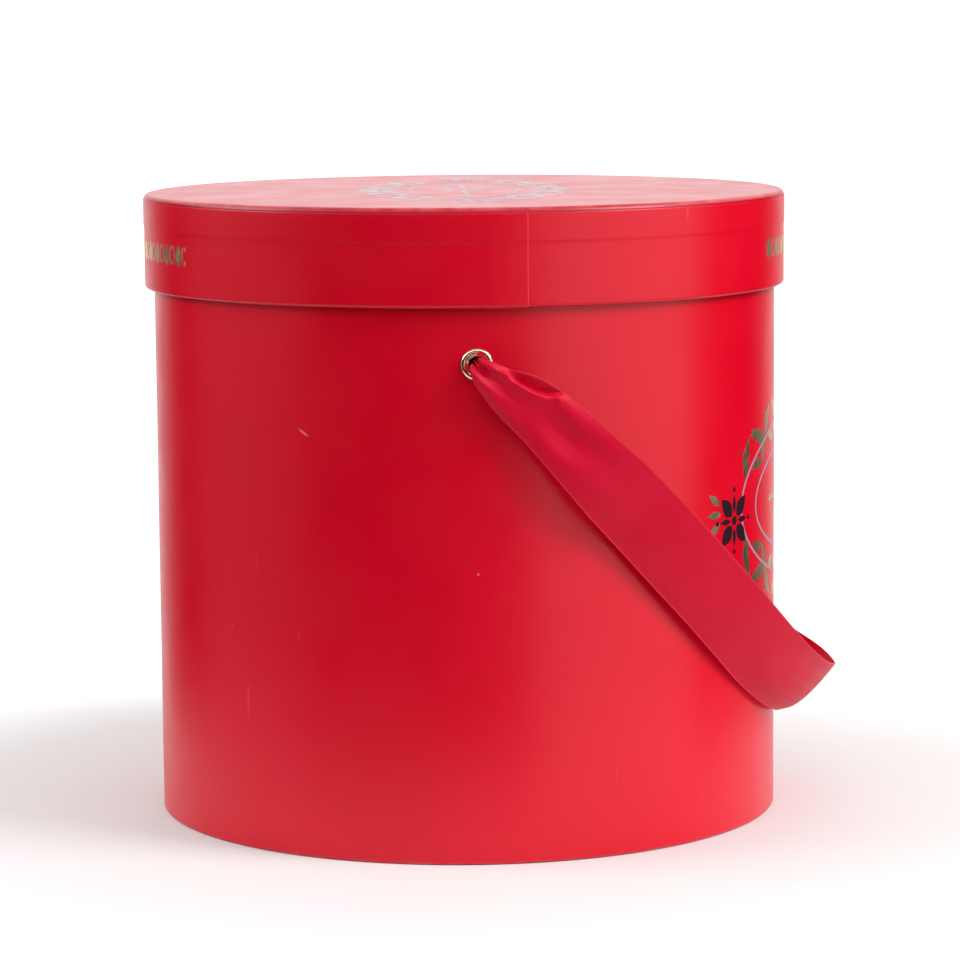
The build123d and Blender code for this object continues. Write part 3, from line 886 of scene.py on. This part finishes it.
def add_knot(side, end, material):
    """The ribbon's knotted end inside the box, and its short flared tail."""
    ball = 7.0
    centre = Vector((0, side * (KNOT_FACE - ball), EYELET_HEIGHT))
    cord, rounds, around = 2.3, 144, 16
    size = (ball - cord) / 3

    def core(turn):
        t = 2 * pi * turn
        return centre + size * Vector((sin(t) + 2 * sin(2 * t), 2.0 * sin(3 * t), cos(t) - 2 * cos(2 * t)))

    points, cloth = [], []
    for k in range(rounds):
        along = (core((k + 1) / rounds) - core((k - 1) / rounds)).normalized()
        first = along.orthogonal().normalized() if k == 0 else (first - along * first.dot(along)).normalized()
        second = along.cross(first)
        for j in range(around):
            a = 2 * pi * j / around
            fold = cord * (1 - 0.13 * cos(3 * a + 0.9) - 0.07 * cos(7 * a + 4 * pi * k / rounds))
            points.append(core(k / rounds) + fold * (cos(a) * first + sin(a) * second))
            cloth.append((k * 0.5 * MM, (j / around - 0.5) * RIBBON_WIDTH * MM))
    add_mesh(f"knot_{end}_tied", points, ring_faces(rounds, around), [material], "handle", "satin_ribbon",
             [f"knot_{end}"], sharp=70, cloth=cloth)
    tail_start, tail_length, narrow, wide, pleats = ball - 3.5, 12.25, 2.6, 8.0, 0.95
    lines = []
    for k in range(13):
        out = tail_start + tail_length * k / 12
        half = narrow + (wide - narrow) * smooth_step(k, 2, 12)
        wave = 1.5 - 0.6 * k / 12
        line = []
        for j in range(25):
            across = half * (j / 12 - 1)
            turn = across * pleats + 0.08 * k + side
            spot = centre + Vector((across, -side * out, wave * sin(turn)))
            line.append((spot, Vector((-wave * pleats * cos(turn), 0, 1)).normalized()))
        lines.append((k, line))
    add_cloth(f"knot_{end}_tail", lines, material, [f"knot_{end}"])


# ---- ornament

STAMP_HEIGHT = {"gold_foil": 0.03, "ornament_line": 0.045, "ornament_ink": 0.06}  # each over the one before
STAMP_DEPTH = 0.05  # how far a stamp goes into the paper
BODY_ORNAMENT_HEIGHT, ROW_HEIGHT = 108.0, 194.3


def blade(centre, heading, length, width, bend=0.0):
    """A curved leaf with two pointed ends, as rows of (across, up) points. heading is in degrees."""
    rows = 9
    a = radians(heading)
    made = []
    for k in range(rows + 1):
        t = k / rows
        along, aside = (t - 0.5) * length, bend * (1 - (2 * t - 1) ** 2)
        half = max(width / 2 * sin(pi * t) ** 0.8 * (1.25 - 0.5 * t), 0.05)
        made.append([(centre[0] + along * cos(a) - (aside + half * c) * sin(a),
                      centre[1] + along * sin(a) + (aside + half * c) * cos(a)) for c in (-1, -0.4, 0.4, 1)])
    return made


def disc(centre, radius):
    """A round dot as rows of points."""
    made = []
    for k in range(7):
        a = pi * k / 6
        half = max(radius * sin(a), 0.04)
        made.append([(centre[0] - radius * cos(a), centre[1] + half * c) for c in (-1, 0, 1)])
    return made


def oval(across, up, width):
    """A closed line round an ellipse, as rows of points."""
    steps = 160
    made = []
    for k in range(steps + 1):
        a = 2 * pi * k / steps
        nx, ny = cos(a) / across, sin(a) / up
        size = hypot(nx, ny)
        made.append([(across * cos(a) + c * width / 2 * nx / size, up * sin(a) + c * width / 2 * ny / size)
                     for c in (-1, 1)])
    return made


def quatrefoil(centre):
    """Four broad petals about a dot, with a short leaf and a dot between each two."""
    made = [disc(centre, 1.6)]
    for k in range(4):
        for heading, away, length, width in ((90 * k + 45, 6.6, 8.6, 5.2), (90 * k, 5.6, 6.0, 2.0)):
            way = Vector((cos(radians(heading)), sin(radians(heading))))
            made.append(blade(Vector(centre) + away * way, heading, length, width))
        made.append(disc(Vector(centre) + 10.4 * way, 0.9))
    return made


def medallion():
    """An oval wreath of leaves round two lines, with a quatrefoil at each end: shapes by slot."""
    wreath, inner_leaves, dots = (66, 31), (56, 24.5), (73, 36)  # half sizes of the ovals that they lie on
    foil, ink = [], []
    count = 28

    def on_oval(half_sizes):
        return (half_sizes[0] * cos(a), half_sizes[1] * sin(a))

    for k in range(count):
        a = 2 * pi * (k + 0.5) / count
        out = degrees(atan2(sin(a) / wreath[1], cos(a) / wreath[0]))
        if abs(cos(a)) < 0.93:
            way = 1 if k % 2 else -1
            foil.append(blade(on_oval(wreath), out - 48 * way, 15, 4.6, 1.6 * way))
            foil.append(blade(on_oval(inner_leaves), out + 62 * way, 9.5, 3.6, -1.1 * way))
            foil.append(disc(on_oval(dots), 0.8))
    for way in (-1, 1):
        ink += quatrefoil((wreath[0] * way, -3.0))
        for k in (-1, 0, 1):
            foil.append(blade((k * 5.5, way * (34.0 - 1.5 * abs(k))), 90 * way - 24 * k * way, 9.5, 3.4))
            foil.append(blade((way * 78.0, k * 5.0), 90 - 90 * way + 34 * k * way, 7.0, 2.6))
        for k in (1, 2, 3):
            foil.append(blade((way * (7 + k * 7.5), 0), 90 - 90 * way, 6.5, 2.4))
    for k in range(8):
        foil.append(blade((9.0 * cos(pi * k / 4), 7.0 * sin(pi * k / 4)), 45 * k, 9.0, 3.0))
    lines = [oval(49, 18.5, 1.0), oval(61, 27.6, 0.9)]
    return {"gold_foil": foil, "ornament_line": lines, "ornament_ink": ink}


def band_row(half_angle):
    """A row of lozenges between pairs of bars, along an arc of the lid's side: shapes by slot."""
    pitch = 9.2
    half = radians(half_angle) * LID_RADIUS
    count = int(half / pitch)
    foil = []
    for k in range(-count, count + 1):
        foil.append(blade((k * pitch, 0), 90, 7.4, 3.4))
        foil.append(disc((k * pitch + pitch / 2, 2.4), 0.75))
        foil.append(disc((k * pitch + pitch / 2, -2.4), 0.75))
        for way in (-1, 1):
            foil.append(blade((k * pitch + way * 2.9, 0), 90, 6.4, 1.1))
    return {"gold_foil": foil}


def on_body(across, up, height):
    """A point of the body's wall by (across, up) from the middle of the ornament, which faces +X."""
    a = across / BODY_RADIUS
    z = BODY_ORNAMENT_HEIGHT + up
    return lifted((BODY_RADIUS * cos(a), BODY_RADIUS * sin(a), z), (cos(a), sin(a), 0), height)


def on_lid(across, up, height):
    """A point of the lid's top, where the ornament's long side lies along the Y axis."""
    return lifted((-up, across, LID_TOP), (0, 0, 1), height, min(1, hypot(across, up) / 20))


def on_band(middle):
    """Points of the lid's side about an angle in degrees."""
    def place(across, up, height):
        radius = LID_RADIUS - PAPER
        a = radians(middle) + across / radius
        return lifted((radius * cos(a), radius * sin(a), ROW_HEIGHT + up), (cos(a), sin(a), 0), height)
    return place


def lifted(spot, normal, height, share=1.0):
    """A point of a wrap's outer side, at a height above the paper's own uneven surface."""
    off = height + board_wave(*spot) * share
    return tuple(p + off * n for p, n in zip(spot, normal))


def add_ornament(name, shapes, place, body, materials):
    """Stamp shapes on a wrap, one piece for each slot."""
    for slot, grids in shapes.items():
        points, faces = [], []
        for grid in grids:
            start, rows, across = len(points), len(grid), len(grid[0])
            points += [place(u, w, h) for h in (STAMP_HEIGHT[slot], -STAMP_DEPTH)
                       for row in grid for u, w in row]
            faces += sheet_faces(start, rows, across)
        add_mesh(f"{name}_{slot}", points, faces, [materials[slot]], body, slot)


# ---- light and floor

def add_stage():
    """A plain white floor."""
    mesh = bpy.data.meshes.new("floor")
    rim = [(FLOOR_RADIUS * cos(2 * pi * k / 96), FLOOR_RADIUS * sin(2 * pi * k / 96), 0) for k in range(96)]
    mesh.from_pydata(rim, [], [tuple(range(96))])
    mesh.materials.append(floor_material())
    floor = bpy.data.objects.new("floor", mesh)
    show(floor)


def add_panel(name, heading, elevation, distance, width, tall, radiance):
    """A soft light that faces the box, by degrees to the right of the camera's side and degrees of height."""
    data = bpy.data.lights.new(name, "AREA")
    data.shape = "RECTANGLE"
    data.size, data.size_y = width, tall
    data.energy = radiance * pi * width * tall
    light = bpy.data.objects.new(name, data)
    a, e = radians(heading), radians(elevation)
    away = Vector((sin(a) * cos(e), -cos(a) * cos(e), sin(e)))
    light.location = away * distance + Vector((0, 0, 0.12))
    light.rotation_mode = "QUATERNION"
    light.rotation_quaternion = (-away).to_track_quat("-Z", "Y")
    light.visible_camera = False
    show(light)


def add_world():
    """The studio round the object: a white backdrop, and dark sides and front at the height of the box."""
    n = Nodes("studio", "worlds", "Background")
    n.constants(Color=(1, 1, 1, 1))
    ways = n.node("SeparateXYZ")
    n.link(n.node("TexCoord").outputs["Generated"], ways.inputs[0])

    def rise(axis, start, end, strength):
        return n.spread(ways.outputs[axis], start, end, 0.0, strength)

    above, zenith = rise("Z", 0.25, 0.50, 1.85), rise("Z", 0.55, 0.80, 1.1)
    overhead, underneath = n.maths("SUBTRACT", above, zenith), rise("Z", -0.35, -0.65, 1.1)
    behind, beside = rise("Y", 0.70, 1.10, 1.75), rise("X", -0.82, -0.97, 0.30)
    light = n.maths("MAXIMUM", n.maths("MAXIMUM", overhead, underneath), n.maths("MAXIMUM", behind, beside))
    seen = n.node("LightPath").outputs["Is Camera Ray"]
    n.link(n.maths("MAXIMUM", light, seen), n.shader.inputs["Strength"])
    bpy.context.scene.world = n.owner


def add_light():
    """The studio's surroundings, a high key light on the right, a card under it, and a light on the left."""
    add_world()
    add_panel("key_softbox", 63, 36, distance=1.6, width=0.7, tall=0.7, radiance=11.5)
    add_panel("right_card", 54, 0, distance=1.5, width=1.9, tall=0.9, radiance=1.2)
    add_panel("left_softbox", -88, 28, distance=1.5, width=0.9, tall=0.6, radiance=4.6)
    bpy.context.scene.view_settings.view_transform = "Standard"


# ---- assembly

add_camera()
red = red_wrap_material("red_wrap_paper", (0.65, 0.0003, 0.017), (0.615, 0.0, 0.013), 5e-5)
# a darker copy of the same red paper for the lid's top: painted shade, offsetting the stronger light that
# falls on the top
shaded_top_red = red_wrap_material("red_wrap_top_paper_shaded", (0.42, 0.0005, 0.017), (0.385, 0.0, 0.013), 1.5e-5)
edge = cut_edge_material()
lining, greyboard, brass = lining_material(), greyboard_material(), brass_material()
satin = satin_material()
add_ribbon(satin)
add_body_wrap([red, edge])
add_base_cover([red, edge])
add_linings([lining, lining])
add_lid_wraps([red, edge], [shaded_top_red, edge])
for side, end in ((-1, "front"), (1, "rear")):
    add_eyelet(side, end, brass)
stamps = {
    "gold_foil": foil_material("gold_foil", (0.86, 0.71, 0.40), (0.93, 0.80, 0.52), (1, 1, 1)),
    "ornament_ink": ink_material("ornament_ink", (0.012, 0.004, 0.010), (0.03, 0.008, 0.016), 0.35),
    "ornament_line": ink_material("ornament_line", (0.33, 0.22, 0.30), (0.40, 0.28, 0.35), 0.4),
}
add_ornament("body_medallion", medallion(), on_body, "box", stamps)
# a dimmer, greyer copy of the gold foil for the lid's top: painted shade, toning down the bright reflection
# it catches from above
shaded_top_foil = foil_material("shaded_top_foil", (0.47, 0.42, 0.43), (0.55, 0.49, 0.51), (0.84, 0.83, 0.85))
lid_stamps = dict(stamps, gold_foil=shaded_top_foil)
lid_shapes = medallion()
lid_shapes["ornament_line"] += lid_shapes.pop("ornament_ink")
add_ornament("lid_medallion", lid_shapes, on_lid, "lid", lid_stamps)
add_ornament("lid_row_right", band_row(24.5), on_band(0), "lid", stamps)
add_ornament("lid_row_left", band_row(32), on_band(180), "lid", stamps)
for node in ("body_tube", "base_disc", "lid_disc", "lid_hoop"):
    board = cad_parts[node]
    board.data.materials.clear()
    board.data.materials.append(greyboard)
add_stage()
add_light()
